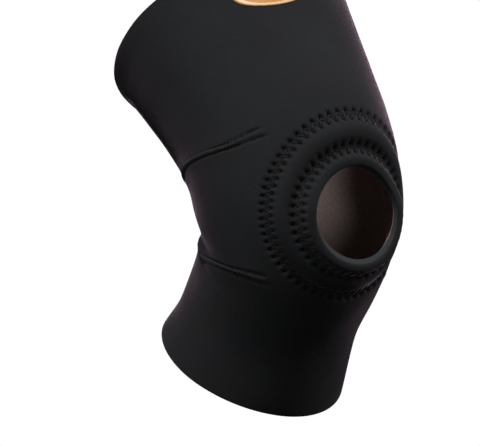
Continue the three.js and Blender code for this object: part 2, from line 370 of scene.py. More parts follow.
def dart_middle(dart, size):
    station, spread = dart
    return station + spread * smooth((size - SPREAD[0]) / (SPREAD[1] - SPREAD[0]))


# Where the two lines of a dart part, where the line away from the knee fades, and to what share.
FORK_END, FORK_SPAN = math.radians(74), math.radians(24)
FADE_END, FADE_SPAN = math.radians(92), math.radians(28)
FADED = 0.15


def dart_lines(dart, angle):
    """Stations of a dart's two edges at an angle: they part towards the front end."""
    size = np.abs(angle)
    middle = dart_middle(dart, size)
    grow = stretch(middle, size)
    fork = DART_FORK * smooth((FORK_END - size) / FORK_SPAN)
    return middle - DART_BAND / 2 / grow, middle + (DART_BAND / 2 + fork) / grow


# A dart's grooves, needle holes and puffed middle: mm deep or high, and mm wide.
DART_GROOVE = (0.65, 0.8)
DART_PIT = (0.5, 0.6)
DART_RIDGE = (0.3, 1.5)
DART_PUFF = (0.4, 6.0)

# The front ends: the high line stops a little short, and both are tucked in just behind their ends.
HIGH_LINE_START = DART_FRONT + math.radians(3)
LINE_EASE, PUFF_EASE = math.radians(5), math.radians(8)
TUCK_SHARE, TUCK_SPREAD = 0.5, math.radians(7)
TUCK_MIDDLE = HIGH_LINE_START + math.radians(6)


def dart_seam(station, angle, dart):
    """Groove depth, pits and crown of a dart. Its line away from the knee fades towards the back."""
    size = np.abs(angle)
    low, high = dart_lines(dart, angle)
    grow = stretch(station, size)
    along = size * knee_radius(dart[0])
    fading = FADED + (1 - FADED) * smooth((FADE_END - size) / FADE_SPAN)
    low_share, high_share = (1, fading) if dart[1] > 0 else (fading, 1)
    tuck = 1 + TUCK_SHARE * bell(size - TUCK_MIDDLE, TUCK_SPREAD)
    lines = (
        (low, DART_FRONT, 0.0, low_share),
        (high, HIGH_LINE_START, 0.5, high_share),
    )
    depth, pits = 0, 0
    for line, start, shift, share in lines:
        away = (station - line) * grow
        live = smooth((size - start) / LINE_EASE) * share
        slip = (along / DART_PITCH + shift) % 1 - 0.5
        depth = depth + DART_GROOVE[0] * bell(away, DART_GROOVE[1]) * live * tuck
        hole = bell(away, DART_PIT[1]) * bell(slip * DART_PITCH, DART_PIT[1])
        pits = pits + DART_PIT[0] * hole * live
    live = smooth((size - DART_FRONT) / PUFF_EASE)
    middle = (station - (low + high) / 2) * grow
    crown = DART_RIDGE[0] * bell(middle, DART_RIDGE[1]) + DART_PUFF[0] * bell(middle, DART_PUFF[1])
    return depth, pits, crown * live


# Folds behind the knee: height, station and width of each, and the angle and spread they lie at.
MAIN_FOLD = (2.4, -39.0, 3.5)
MAIN_HOLLOW = (-3.2, -35.0, 14.0)
MAIN_ANGLE, MAIN_SPREAD = math.radians(112), math.radians(24)
SOFT_FOLDS = {"height": 0.9, "wave": 7.5, "phase": 0.8, "reach": 24.0}
SOFT_START, SOFT_EASE = math.radians(118), math.radians(30)


def back_folds(station, angle):
    """Small folds behind the knee: one stands out just above the lower dart."""
    size = np.abs(angle)
    beside = bell(size - MAIN_ANGLE, MAIN_SPREAD)
    main = sum(height * bell(station - at, width) for height, at, width in (MAIN_FOLD, MAIN_HOLLOW))
    wave = np.cos(station / SOFT_FOLDS["wave"] + SOFT_FOLDS["phase"])
    soft = SOFT_FOLDS["height"] * wave * smooth((size - SOFT_START) / SOFT_EASE)
    return main * beside + soft * bell(station, SOFT_FOLDS["reach"])


# The set of the open ends behind: the thigh flares over its last stretch, the calf draws in.
FLARE, FLARE_START = 1.4, 114.0
DRAW_IN, DRAW_STATION, DRAW_WIDTH = 1.6, -92.0, 16.0
SET_START, SET_EASE = math.radians(70), math.radians(50)


def back_set(station, angle):
    """The set of the two open ends behind: the thigh's flares a little, the calf's draws in."""
    behind = smooth((np.abs(angle) - SET_START) / SET_EASE)
    flare = FLARE * smooth((station - FLARE_START) / (THIGH_END - FLARE_START))
    return behind * (flare - DRAW_IN * bell(station - DRAW_STATION, DRAW_WIDTH))


# The cloth lies calm up to the first of these radii, and is fully uneven past the second.
CALM_RADII = (30.0, 60.0)


def relief(station, angle):
    """Lift off the plain surface, and how deep in a needle hole the point is (0 to 1)."""
    radius, bearing = hole_polar(station, angle)
    calm, full = CALM_RADII
    lift = wrinkles(face_point(station, angle)) * smooth((radius - calm) / (full - calm))
    lift = lift + pad_profile(radius, bearing)
    lift = lift + np.where(radius < LIP_TURN_RADII[1], lip_profile(radius), 0)
    lift = lift + back_folds(station, angle) + back_set(station, angle)
    pits = 0
    seams = [ring_seam(radius, bearing, middle) for middle in (INNER_STITCH, OUTER_STITCH)]
    seams.append(back_seam(station, angle))
    for dart in (UPPER_DART, LOWER_DART):
        depth, holes, crown = dart_seam(station, angle, dart)
        seams.append((depth - crown, holes))
    for depth, holes in seams:
        lift = lift - depth
        pits = pits + holes
    return lift, np.clip(pits, 0, 1)


# -------------------- mesh building

class Skin:
    """Points of the surface with a lift each, and faces with a material index each."""

    def __init__(self):
        self.parts, self.faces, self.kinds, self.count = [], [], [], 0

    def points(self, station, angle, lift, pit=0.0):
        shape = np.broadcast_shapes(np.shape(station), np.shape(angle), np.shape(lift))
        values = [np.broadcast_to(v, shape).ravel() for v in (station, angle, lift, pit)]
        self.parts.append(np.stack(values, -1))
        index = np.arange(self.count, self.count + values[0].size).reshape(shape)
        self.count += values[0].size
        return index

    def bands(self, rows, closed=True, kind=0, flip=False):
        """Quads between each row of points and the next, facing out, or in when flipped."""
        rows = np.asarray(rows)
        low, high = rows[:-1], rows[1:]
        if closed:
            low_next, high_next = np.roll(low, -1, 1), np.roll(high, -1, 1)
        else:
            low, low_next, high, high_next = low[:, :-1], low[:, 1:], high[:, :-1], high[:, 1:]
        quads = np.stack([low, low_next, high_next, high], -1).reshape(-1, 4)
        quads = quads[:, ::-1] if flip else quads
        self.faces += quads.tolist()
        self.kinds += [kind] * len(quads)

    def zip(self, low, low_at, high, high_at, kind=0):
        """Triangles between two closed rows with different numbers of points."""
        low_turn = np.append(low_at, low_at[0] + 2 * math.pi)
        high_turn = np.append(high_at, high_at[0] + 2 * math.pi)
        i = j = 0
        while i < len(low) or j < len(high):
            a, b = low[i % len(low)], high[j % len(high)]
            ahead = j == len(high) or (i < len(low) and low_turn[i + 1] <= high_turn[j + 1])
            if ahead:
                self.faces.append([a, low[(i + 1) % len(low)], b])
                i += 1
            else:
                self.faces.append([a, high[(j + 1) % len(high)], b])
                j += 1
            self.kinds.append(kind)

    def build(self, name, materials, sharp=()):
        """Makes the object. Points that no face uses are left out. sharp holds rows to crease."""
        values = np.concatenate(self.parts)
        used = np.unique(np.concatenate([np.asarray(f) for f in self.faces]))
        renumber = np.full(self.count, -1)
        renumber[used] = np.arange(len(used))
        station, angle, lift, pit = values[used].T
        place = raised(station, angle, lift) * MM
        mesh = bpy.data.meshes.new(name)
        faces = [[int(renumber[i]) for i in face] for face in self.faces]
        mesh.from_pydata(place.tolist(), [], faces)
        for material in materials:
            mesh.materials.append(material)
        mesh.polygons.foreach_set("material_index", self.kinds)
        mesh.polygons.foreach_set("use_smooth", [True] * len(faces))
        # How deep in a needle hole each point is, which the jersey's colour turns into painted shade.
        depth = mesh.attributes.new("needle_hole_shade", "FLOAT", "POINT")
        depth.data.foreach_set("value", pit.astype(np.float32))
        if len(sharp):
            crease_edges(mesh, [renumber[np.asarray(row)] for row in sharp])
        mesh.update()
        obj = bpy.data.objects.new(name, mesh)
        bpy.context.scene.collection.objects.link(obj)
        return obj


def crease_edges(mesh, rows):
    """Marks the edges along closed rows of points as sharp, so that shading stops there."""
    wanted = set()
    for row in rows:
        for a, b in zip(row, np.roll(row, -1)):
            wanted.add((min(a, b), max(a, b)))
    attribute = mesh.attributes.new("sharp_edge", "BOOLEAN", "EDGE")
    ends = np.zeros(len(mesh.edges) * 2, int)
    mesh.edges.foreach_get("vertices", ends)
    ends = np.sort(ends.reshape(-1, 2), axis=1)
    attribute.data.foreach_set("value", [(a, b) in wanted for a, b in ends.tolist()])


def edge_station(edge, angle):
    """Station of the line between two regions, which slopes from the front to the back."""
    front, back = edge
    return front + (back - front) * (1 - np.cos(angle)) / 2


def round_angles(count):
    return (np.arange(count) / count - 0.5) * 2 * math.pi


def stations_between(pieces):
    """Stations from a list of (start, stop, rows)."""
    parts = [np.linspace(a, b, n, endpoint=False) for a, b, n in pieces]
    return np.concatenate(parts + [[pieces[-1][1]]])


# -------------------- patches and pieces

PIT_DEPTH = 2.0
GLUE = 0.05


def outer_lift(station, angle):
    """Lift and needle-hole depth of the outer face."""
    lift, pits = relief(station, angle)
    return lift - PIT_DEPTH * pits, pits


def under_cloth(station, angle):
    """The inner side of the foam, pushed out over the pad. It has no needle holes, hence the 0."""
    return PAD_BULGE * fullness(hole_polar(station, angle)[0]) - FOAM, 0.0


def over_lining(station, angle):
    return -FOAM - GLUE - PAD_POCKET * fullness(hole_polar(station, angle)[0]), 0.0


def under_lining(station, angle):
    return over_lining(station, angle)[0] - LINING, 0.0


def spanned(lower, upper, rows):
    """Stations of rows evenly from a lower edge to an upper one, at each angle."""
    share = np.linspace(0, 1, rows + 1)[:, None]
    return lambda angle: lower(angle) + (upper(angle) - lower(angle)) * share


def knee_low(angle):
    return edge_station(KNEE_BOTTOM, angle)


def knee_high(angle):
    return edge_station(KNEE_TOP, angle)


DART_MARGIN = 2.2
# Rows from the knee's lower edge up: to the lower dart, over it, between the darts, and so on.
KNEE_ROWS = (8, 22, 56, 24, 8)


def fine_knee_rows(angle):
    """Rows that follow the two darts and lie close together on them."""
    low, high = knee_low(angle), knee_high(angle)
    lower, lower_top = dart_lines(LOWER_DART, angle)
    upper, upper_top = dart_lines(UPPER_DART, angle)
    lower_margin, upper_margin = DART_MARGIN / stretch(np.array([lower, upper]), angle)
    stops = [
        np.maximum(lower - lower_margin, low + 1),
        lower_top + lower_margin,
        upper - upper_margin,
        np.minimum(upper_top + upper_margin, high - 1),
        high,
    ]
    rows = [low[None]]
    start = low
    for stop, count in zip(stops, KNEE_ROWS):
        share = (np.arange(count) + 1)[:, None] / count
        rows.append(start + (stop - start) * share)
        start = stop
    return np.concatenate(rows)


def tube_patch(skin, columns, stations, lift, flip=False):
    """A closed tube of the surface. Returns its lowest and its highest row."""
    angle = round_angles(columns)
    station = stations(angle)
    grid = skin.points(station, angle[None], *lift(station, angle[None] + 0 * station))
    skin.bands(grid, flip=flip)
    return grid[0], grid[-1]


def hole_mouth(bearing):
    """The hole's edge on the outer face."""
    return HOLE_RADIUS + 0 * bearing


def hole_foot(bearing):
    """The hole's edge on the inner side of the foam: its cut wall slopes in at the bottom."""
    return HOLE_RADIUS - HOLE_BEVEL * smooth(-np.cos(bearing))


def lining_hole(bearing):
    return hole_foot(bearing) + LINING_TRIM


def knee_patch(skin, columns, field, stations, radii, spread, lift, hole, flip=False):
    """The knee's tube, with rings round the patella hole in its front field.

    hole gives the radius of the patch's inner edge at a bearing.
    """
    angle = round_angles(columns)
    station = stations(angle)
    angles = angle[None] + 0 * station
    grid = skin.points(station, angles, *lift(station, angles))
    first, last = (columns - field) // 2, (columns + field) // 2
    behind = np.r_[last:columns, 0:first + 1]
    skin.bands(grid[:, behind], closed=False, flip=flip)

    def border(of):
        return np.concatenate([of[-1, first:last], of[:0:-1, last], of[0, last:first:-1], of[:-1, first]])

    edge, edge_s, edge_u = border(grid), border(station), border(angles)
    turn = 2 * math.pi / len(edge)
    start = round(hole_polar(edge_s[0], edge_u[0])[1] / turn) * turn
    bearing = start + np.arange(len(edge)) * turn
    ring_radii = np.asarray(radii)[:, None] + 0 * bearing
    ring_radii[0] = hole(bearing)
    ring_s, ring_u = hole_point(ring_radii, bearing[None])
    share = (np.arange(1, spread) / spread)[:, None]
    ring_s = np.concatenate([ring_s, ring_s[-1:] + (edge_s - ring_s[-1:]) * share])
    ring_u = np.concatenate([ring_u, ring_u[-1:] + (edge_u - ring_u[-1:]) * share])
    rings = skin.points(ring_s, ring_u, *lift(ring_s, ring_u))
    skin.bands(np.concatenate([rings, edge[None]]), flip=flip)
    return grid[0], grid[-1], rings[0], bearing


# Radii of the rings round the hole: coarse ones, and the fine ones as (start, stop, count).
COARSE_RADII = [
    HOLE_RADIUS, 34, 38, POCKET[0], 43.5, 45.5, 47.5, 49.5, 51, 52.5, 53.6, POCKET[1],
]
FINE_RADII = [
    (HOLE_RADIUS, 30.6, 5),
    (30.6, 35.5, 6),
    (35.5, 43, 17),
    (43, 53, 11),
    (53, 61, 18),
]
# Rows from the last ring out to the field's border, on the fine, coarse and lining faces.
FINE_SPREAD, COARSE_SPREAD, LINING_SPREAD = 36, 4, 8

# A raw-cut edge, from the face inwards: step back from the rim, lift, and how far the relief
# has faded. The first rows are still jersey, and the rest is bare foam.
RIM_STEP = 1.0
RAW_EDGE = [
    (-0.55, -0.10, 0.1),
    (-0.2, -0.35, 0.3),
    (-0.03, -0.75, 0.6),
    (0, -1.2, 1),
    (0, -2.2, 1),
    (0, -FOAM, 1),
]
JERSEY_ROWS = 3
JERSEY, BARE_FOAM = 0, 1

# The hole's cut wall: share of the way from its mouth to its foot, and lift.
HOLE_WALL = [(0.25, -1.3), (0.6, -2.2), (1, -FOAM)]


def cloth_tube(name, low_edge, high_edge, rows, rim, materials):
    """The thigh's or the calf's cloth, with its raw-cut rim at one end ('top' or 'bottom')."""
    skin = Skin()
    angle = round_angles(AROUND)
    few = round_angles(AROUND // COARSE)
    low_fine = (lambda a: low_edge(a) + RIM_STEP) if rim == "bottom" else low_edge
    high_fine = (lambda a: high_edge(a) - RIM_STEP) if rim == "top" else high_edge
    station = spanned(low_fine, high_fine, rows)(angle)
    angles = angle[None] + 0 * station
    lifts, pits = outer_lift(station, angles)
    grid = skin.points(station, angles, lifts, pits)
    skin.bands(grid)
    low_row, high_row = grid[0], grid[-1]
    ends = {}
    for end, row, top, edge, sign in (
        ("bottom", low_row, lifts[0], low_edge(angle), 1),
        ("top", high_row, lifts[-1], high_edge(angle), -1),
    ):
        if end == rim:
            down = [skin.points(edge - sign * slide, angle, top * (1 - fade) + drop)
                    for slide, drop, fade in RAW_EDGE]
        else:
            down = [skin.points(edge, angle, np.full_like(angle, -FOAM))]
        chain = np.array([row] + down)
        for i in range(len(chain) - 1):
            pair = chain[i:i + 2] if end == "top" else chain[i:i + 2][::-1]
            skin.bands(pair, kind=JERSEY if end == rim and i < JERSEY_ROWS else BARE_FOAM)
        ends[end] = chain[-1]
    under = spanned(low_edge, high_edge, UNDER_ROWS["tube"])
    low_in, high_in = tube_patch(skin, len(few), under, under_cloth, flip=True)
    skin.zip(ends["top"], angle, high_in, few, kind=BARE_FOAM)
    skin.zip(low_in, few, ends["bottom"], angle, kind=BARE_FOAM)
    sharp = [low_row] if rim == "top" else [high_row]
    return skin.build(name, materials, sharp)


def cloth_knee(name, materials):
    """The knee's cloth, with the patella hole and its cut wall."""
    skin = Skin()
    angle, few = round_angles(AROUND), round_angles(AROUND // COARSE)
    low_row, high_row, hole, bearing = knee_patch(
        skin, AROUND, FIELD, fine_knee_rows, stations_between(FINE_RADII), FINE_SPREAD,
        outer_lift, hole_mouth)
    low_in, high_in, hole_in, few_bearing = knee_patch(
        skin, len(few), FIELD // COARSE, spanned(knee_low, knee_high, UNDER_ROWS["knee"]),
        COARSE_RADII, COARSE_SPREAD, under_cloth, hole_foot, flip=True)
    high = skin.points(knee_high(angle), angle, -FOAM)
    low = skin.points(knee_low(angle), angle, -FOAM)
    skin.bands(np.array([high_row, high]), kind=BARE_FOAM)
    skin.bands(np.array([low, low_row]), kind=BARE_FOAM)
    skin.zip(high, angle, high_in, few, kind=BARE_FOAM)
    skin.zip(low_in, few, low, angle, kind=BARE_FOAM)
    rows = [hole]
    for share, lift in HOLE_WALL:
        radius = HOLE_RADIUS + (hole_foot(bearing) - HOLE_RADIUS) * share
        station, turn = hole_point(radius, bearing)
        rows.append(skin.points(station, turn, lift))
    for i in range(len(rows) - 1):
        skin.bands(np.array([rows[i + 1], rows[i]]), kind=BARE_FOAM)
    skin.zip(hole_in, few_bearing, rows[-1], bearing, kind=BARE_FOAM)
    return skin.build(name, materials, [low_row, high_row, hole])


def lining_tube(name, low_edge, high_edge, material):
    skin = Skin()
    stations = spanned(low_edge, high_edge, LINING_ROWS)
    low, high = tube_patch(skin, LINING_AROUND, stations, over_lining)
    low_in, high_in = tube_patch(skin, LINING_AROUND, stations, under_lining, flip=True)
    skin.bands(np.array([high, high_in]))
    skin.bands(np.array([low_in, low]))
    return skin.build(name, [material], [low, high, low_in, high_in])


def lining_knee(name, material):
    skin = Skin()
    stations = spanned(knee_low, knee_high, LINING_ROWS)
    layout = (LINING_AROUND, LINING_FIELD, stations, COARSE_RADII, LINING_SPREAD)
    low, high, hole, _ = knee_patch(skin, *layout, over_lining, lining_hole)
    low_in, high_in, hole_in, _ = knee_patch(skin, *layout, under_lining, lining_hole, flip=True)
    skin.bands(np.array([high, high_in]))
    skin.bands(np.array([low_in, low]))
    skin.bands(np.array([hole_in, hole]))
    return skin.build(name, [material], [low, high, hole, low_in, high_in, hole_in])


PAD_RINGS, PAD_POINTS = 15, 240
PAD_RIM_SOFTENING = 0.25


def pad_ring(name, material):
    """The foam ring in the pocket: crowned on both faces, and soft at its rims."""
    skin = Skin()
    radii = np.linspace(PAD_RIM[0], PAD_RIM[1], PAD_RINGS)
    bearing = np.arange(PAD_POINTS) / PAD_POINTS * 2 * math.pi
    station, angle = hole_point(radii[:, None], bearing[None])
    middle, half = sum(PAD_RIM) / 2, (PAD_RIM[1] - PAD_RIM[0]) / 2
    soft = 1 - PAD_RIM_SOFTENING * ((radii[:, None] - middle) / half) ** 4 + 0 * bearing
    top = PAD_BULGE * fullness(radii)[:, None] - FOAM - PAD_SLACK
    bottom = -FOAM - PAD_POCKET * fullness(radii)[:, None] + PAD_SLACK
    core = (top + bottom) / 2
    over = skin.points(station, angle, core + (top - core) * soft)
    under = skin.points(station, angle, core + (bottom - core) * soft)
    skin.bands(over)
    skin.bands(under, flip=True)
    skin.bands(np.array([over[-1], under[-1]]))
    skin.bands(np.array([under[0], over[0]]))
    return skin.build(name, [material])


# -------------------- thread

THREAD_SIDES = 6


def tube(name, path, up, radius, material, closed):
    """A round thread along a path in mm. up is the surface's normal at each point."""
    ahead = np.roll(path, -1, 0) - np.roll(path, 1, 0)
    if not closed:
        ahead[0], ahead[-1] = path[1] - path[0], path[-1] - path[-2]
    ahead = unit(ahead)
    side = unit(np.cross(ahead, up))
    over = np.cross(side, ahead)
    turn = np.arange(THREAD_SIDES) / THREAD_SIDES * 2 * math.pi
    ring = path[:, None] + radius * (np.cos(turn)[None, :, None] * over[:, None]
                                     + np.sin(turn)[None, :, None] * side[:, None])
    count = len(path)
    index = np.arange(count * THREAD_SIDES).reshape(count, THREAD_SIDES)
    if closed:
        index = np.concatenate([index, index[:1]])
    low, high = index[:-1], index[1:]
    quads = np.stack([low, high, np.roll(high, -1, 1), np.roll(low, -1, 1)], -1).reshape(-1, 4)
    faces = quads.tolist()
    if not closed:
        faces += [index[0].tolist(), index[-1][::-1].tolist()]
    mesh = bpy.data.meshes.new(name)
    mesh.from_pydata((ring.reshape(-1, 3) * MM).tolist(), [], faces)
    mesh.materials.append(material)
    mesh.polygons.foreach_set("use_smooth", [True] * len(faces))
    mesh.update()
    obj = bpy.data.objects.new(name, mesh)
    bpy.context.scene.collection.objects.link(obj)
    return obj


# Points per stitch, how high the thread arches over the cloth, and how deep it dips at a hole.
STITCH_STEPS = 8
STITCH_ARCH, STITCH_DIP = 0.12, 1.1


def stitch_wave(stitches):
    """Place along a zigzag in stitches, side of the seam from -1 to 1, and the thread's lift."""
    x = np.arange(stitches * STITCH_STEPS + 1) / STITCH_STEPS
    side = 2 * np.abs((x + 1) % 2 - 1) - 1
    arch = np.abs(np.sin(math.pi * x))
    return x, side, STITCH_ARCH * arch - STITCH_DIP * (1 - arch) ** 2


def seam_thread(name, station, angle, lift, radius, material, closed=False):
    """A thread that lies on the relief, lifted by lift."""
    base, _ = relief(station, angle)
    path = raised(station, angle, base + lift)
    return tube(name, path, normal_at(station, angle), radius, material, closed)


def ring_thread(name, middle, material):
    stitches = 2 * ring_pitches(middle)
    x, side, lift = [values[:-1] for values in stitch_wave(stitches)]
    station, angle = hole_point(middle + side * STITCH_BAND / 2, x / stitches * 2 * math.pi)
    return seam_thread(name, station, angle, lift, RING_THREAD, material, closed=True)


# A dart's thread begins where its lines draw together, and ends short of the back seam.
DART_THREAD_START = math.radians(60)
DART_THREAD_STOP = math.pi - 0.07
DART_THREAD_LIFT = 0.7


def dart_thread(name, dart, hand, material):
    """Fine zigzag between a dart's two edges, from where it forks to near the back seam."""
    across = knee_radius(dart[0])
    first = math.ceil(DART_THREAD_START * across / DART_PITCH)
    last = math.floor(DART_THREAD_STOP * across / DART_PITCH)
    x, side, lift = stitch_wave(2 * (last - first))
    size = (first + 0.5 + x / 2) * DART_PITCH / across
    low, high = dart_lines(dart, size)
    station = (low + high) / 2 + side * (high - low) / 2
    return seam_thread(name, station, hand * size, DART_THREAD_LIFT * lift, FINE_THREAD, material)


def back_thread(name, low, high, material):
    """The zigzag down the back seam between two stations."""
    start, stop = np.ceil(np.interp([low, high], TABLE, BACK_ARC) / SEAM_PITCH)
    x, side, lift = stitch_wave(2 * int(stop - start - 1))
    station = np.interp((start + x / 2) * SEAM_PITCH, BACK_ARC, TABLE)
    angle = math.pi + side * STITCH_BAND / 2 / radius_of(station, math.pi)
    angle = np.where(angle > math.pi, angle - 2 * math.pi, angle)
    return seam_thread(name, station, angle, lift, FINE_THREAD, material)


# -------------------- badge

BADGE_STATION, BADGE_ANGLE = 105.5, math.radians(-17)
BADGE_LENGTH, BADGE_HEIGHT = 50.0, 24.0
BADGE_POINTS = 120

# From the middle out and back underneath: share of the half size, and lift. Two of the bands
# between these rows are the border.
BADGE_PROFILE = [
    (0.0, 0.55), (0.5, 0.55), (0.80, 0.55), (0.83, 0.75), (0.90, 0.85), (0.96, 0.75),
    (1.0, 0.35), (1.0, 0.05), (0.0, 0.05),
]
BORDER_BANDS = (3, 4)
BADGE_FIELD, BADGE_BORDER = 0, 1


def badge(name, field, border):
    """A plain blank oval transfer: a thin plate with a rounded, slightly raised light border."""
    turn = np.arange(BADGE_POINTS) / BADGE_POINTS * 2 * math.pi
    radius = radius_of(BADGE_STATION, BADGE_ANGLE)
    skin = Skin()
    rows = []
    for share, lift in BADGE_PROFILE:
        station = BADGE_STATION + BADGE_HEIGHT / 2 * share * np.cos(turn)
        angle = BADGE_ANGLE + BADGE_LENGTH / 2 * share * np.sin(turn) / radius
        base, _ = relief(station, angle)
        rows.append(skin.points(station, angle, base + lift))
    for i in range(1, len(rows) - 2):
        kind = BADGE_BORDER if i in BORDER_BANDS else BADGE_FIELD
        skin.bands(np.array(rows[i:i + 2]), kind=kind)
    centre, under = rows[0][0], rows[-1][0]
    for here, after in zip(range(BADGE_POINTS), np.roll(range(BADGE_POINTS), -1)):
        skin.faces.append([centre, rows[1][after], rows[1][here]])
        skin.faces.append([under, rows[-2][here], rows[-2][after]])
        skin.kinds += [BADGE_FIELD, BADGE_FIELD]
    return skin.build(name, [field, border])


# -------------------- materials

class Nodes:
    """Short names for building one material's node tree."""

    def __init__(self, name):
        self.material = bpy.data.materials.new(name)
        self.material.use_nodes = True
        self.tree = self.material.node_tree
        self.shader = self.tree.nodes["Principled BSDF"]
        self.place = self.add("ShaderNodeTexCoord").outputs["Object"]

    def add(self, kind, **values):
        node = self.tree.nodes.new(kind)
        for key, value in values.items():
            setattr(node, key, value)
        return node

    def link(self, a, b):
        self.tree.links.new(a, b)

    def noise(self, scale, detail=3.0, rough=0.5):
        node = self.add("ShaderNodeTexNoise")
        self.link(self.place, node.inputs["Vector"])
        node.inputs["Scale"].default_value = scale
        node.inputs["Detail"].default_value = detail
        node.inputs["Roughness"].default_value = rough
        return node.outputs["Fac"]

    def cells(self, scale):
        node = self.add("ShaderNodeTexVoronoi")
        self.link(self.place, node.inputs["Vector"])
        node.inputs["Scale"].default_value = scale
        return node.outputs["Distance"]

    def ramp(self, value, low, high, start=0.0, stop=1.0):
        """Maps value from low..high to start..stop."""
        node = self.add("ShaderNodeMapRange")
        self.link(value, node.inputs["Value"])
        for key, number in (("From Min", low), ("From Max", high), ("To Min", start), ("To Max", stop)):
            node.inputs[key].default_value = number
        return node.outputs["Result"]

    def mix(self, share, a, b):
        """Mixes two colours, each a tuple or a socket."""
        node = self.add("ShaderNodeMix", data_type="RGBA")
        self.link(share, node.inputs["Factor"])
        for key, colour in ((6, a), (7, b)):
            if isinstance(colour, tuple):
                node.inputs[key].default_value = (*colour, 1)
            else:
                self.link(colour, node.inputs[key])
        return node.outputs[2]

    def bump(self, height, strength, distance, under=None):
        node = self.add("ShaderNodeBump")
        node.inputs["Strength"].default_value = strength
        node.inputs["Distance"].default_value = distance
        self.link(height, node.inputs["Height"])
        if under is not None:
            self.link(under, node.inputs["Normal"])
        return node.outputs["Normal"]

    def attribute(self, name):
        return self.add("ShaderNodeAttribute", attribute_name=name).outputs["Fac"]

    def set(self, **values):
        for key, value in values.items():
            socket = self.shader.inputs[key.replace("_", " ")]
            if hasattr(value, "links"):
                self.link(value, socket)
            else:
                socket.default_value = value


def jersey():
    """Matt black nylon jersey: fine knit, a mauve nap at grazing angles, and painted shade in the needle
    holes.
    """
    n = Nodes("jersey_cloth")
    fleck = n.ramp(n.noise(1500, 4, 0.7), 0.35, 0.7)
    patch = n.ramp(n.noise(28, 3), 0.35, 0.65)
    colour = n.mix(fleck, (0.0052, 0.0058, 0.0062), (0.0115, 0.0125, 0.0132))
    colour = n.mix(n.ramp(patch, 0, 1, 0, 0.5), colour, (0.0100, 0.0095, 0.0106))
    # Painted shade: the colour darkens to near black by how deep in a needle hole the point is.
    colour = n.mix(n.attribute("needle_hole_shade"), colour, (0.0012, 0.0012, 0.0014))
    knit = n.bump(n.cells(1700), 0.35, 0.0003)
    nap = n.bump(n.noise(300, 3), 0.08, 0.0005, knit)
    n.set(Base_Color=colour, Roughness=n.ramp(patch, 0, 1, 0.82, 0.95), Normal=nap)
    n.set(Sheen_Weight=0.2, Sheen_Roughness=0.28, Sheen_Tint=(0.90, 0.60, 0.80, 1))
    n.set(Specular_IOR_Level=0.06)
    return n.material


def foam_edge():
    """The cut edge of the laminate: grey closed-cell foam with fine open cells."""
    n = Nodes("foam_edge")
    cells = n.cells(1800)
    colour = n.mix(n.ramp(cells, 0.1, 0.7), (0.009, 0.010, 0.011), (0.020, 0.021, 0.023))
    n.set(Base_Color=colour, Roughness=0.9, Normal=n.bump(cells, 0.5, 0.0003))
    n.set(Specular_IOR_Level=0.12)
    return n.material


def lining_cloth():
    """The brushed brown-grey inner face."""
    n = Nodes("lining_cloth")
    pile = n.noise(900, 5, 0.65)
    patch = n.ramp(n.noise(35, 3), 0.35, 0.65)
    colour = n.mix(n.ramp(pile, 0.35, 0.7), (0.13, 0.098, 0.091), (0.24, 0.185, 0.172))
    colour = n.mix(n.ramp(patch, 0, 1, 0, 0.5), colour, (0.16, 0.128, 0.12))
    n.set(Base_Color=colour, Roughness=0.92, Normal=n.bump(pile, 0.35, 0.0006))
    n.set(Sheen_Weight=0.1, Sheen_Roughness=0.5, Sheen_Tint=(0.85, 0.75, 0.7, 1))
    n.set(Specular_IOR_Level=0.15)
    return n.material


def thread_material():
    n = Nodes("black_thread")
    twist = n.noise(5000, 2)
    colour = n.mix(n.ramp(twist, 0.35, 0.65), (0.006, 0.006, 0.0065), (0.011, 0.011, 0.012))
    n.set(Base_Color=colour, Roughness=0.7, Normal=n.bump(twist, 0.4, 0.0001))
    n.set(Specular_IOR_Level=0.12)
    return n.material


def pad_foam():
    n = Nodes("pad_foam")
    cells = n.cells(900)
    colour = n.mix(n.ramp(cells, 0.1, 0.7), (0.02, 0.02, 0.022), (0.045, 0.045, 0.048))
    n.set(Base_Color=colour, Roughness=0.9, Normal=n.bump(cells, 0.6, 0.0005))
    return n.material


def badge_material(name, dark, light):
    n = Nodes(name)
    weave = n.noise(1600, 3)
    colour = n.mix(n.ramp(weave, 0.35, 0.65), dark, light)
    n.set(Base_Color=colour, Roughness=0.5, Normal=n.bump(weave, 0.2, 0.0002))
    return n.material


# -------------------- camera, light and floor

CAMERA_AZIMUTH, CAMERA_ELEVATION = math.radians(-38), math.radians(1.3)
CAMERA_DISTANCE = 1.4
AIM_LEFT, AIM_DOWN = 0.0344, 0.0121
LENS, SENSOR = 171, 36
CLIP_END = 50
LIGHT_DISTANCE = 2.2
BACKDROP = 1.03
FLOOR_RADIUS, FLOOR_DEPTH = 6.0, 1.6


def towards(azimuth, elevation):
    """A unit vector from the knee. Azimuth 0 is in front of the kneecap, and positive towards +X."""
    level = math.cos(elevation)
    return Vector((math.sin(azimuth) * level, -math.cos(azimuth) * level, math.sin(elevation)))


def camera():
    """Three-quarter view from in front and the -X side, nearly level, through a long lens."""
    back = towards(CAMERA_AZIMUTH, CAMERA_ELEVATION)
    right = Vector((math.cos(CAMERA_AZIMUTH), math.sin(CAMERA_AZIMUTH), 0))
    up = back.cross(right)
    data = bpy.data.cameras.new("camera")
    data.lens = LENS
    data.sensor_width = SENSOR
    data.clip_end = CLIP_END
    obj = bpy.data.objects.new("camera", data)
    obj.location = back * CAMERA_DISTANCE
    aim = right * -AIM_LEFT - up * AIM_DOWN
    obj.rotation_euler = (aim - obj.location).to_track_quat("-Z", "Y").to_euler()
    bpy.context.scene.collection.objects.link(obj)
    bpy.context.scene.camera = obj


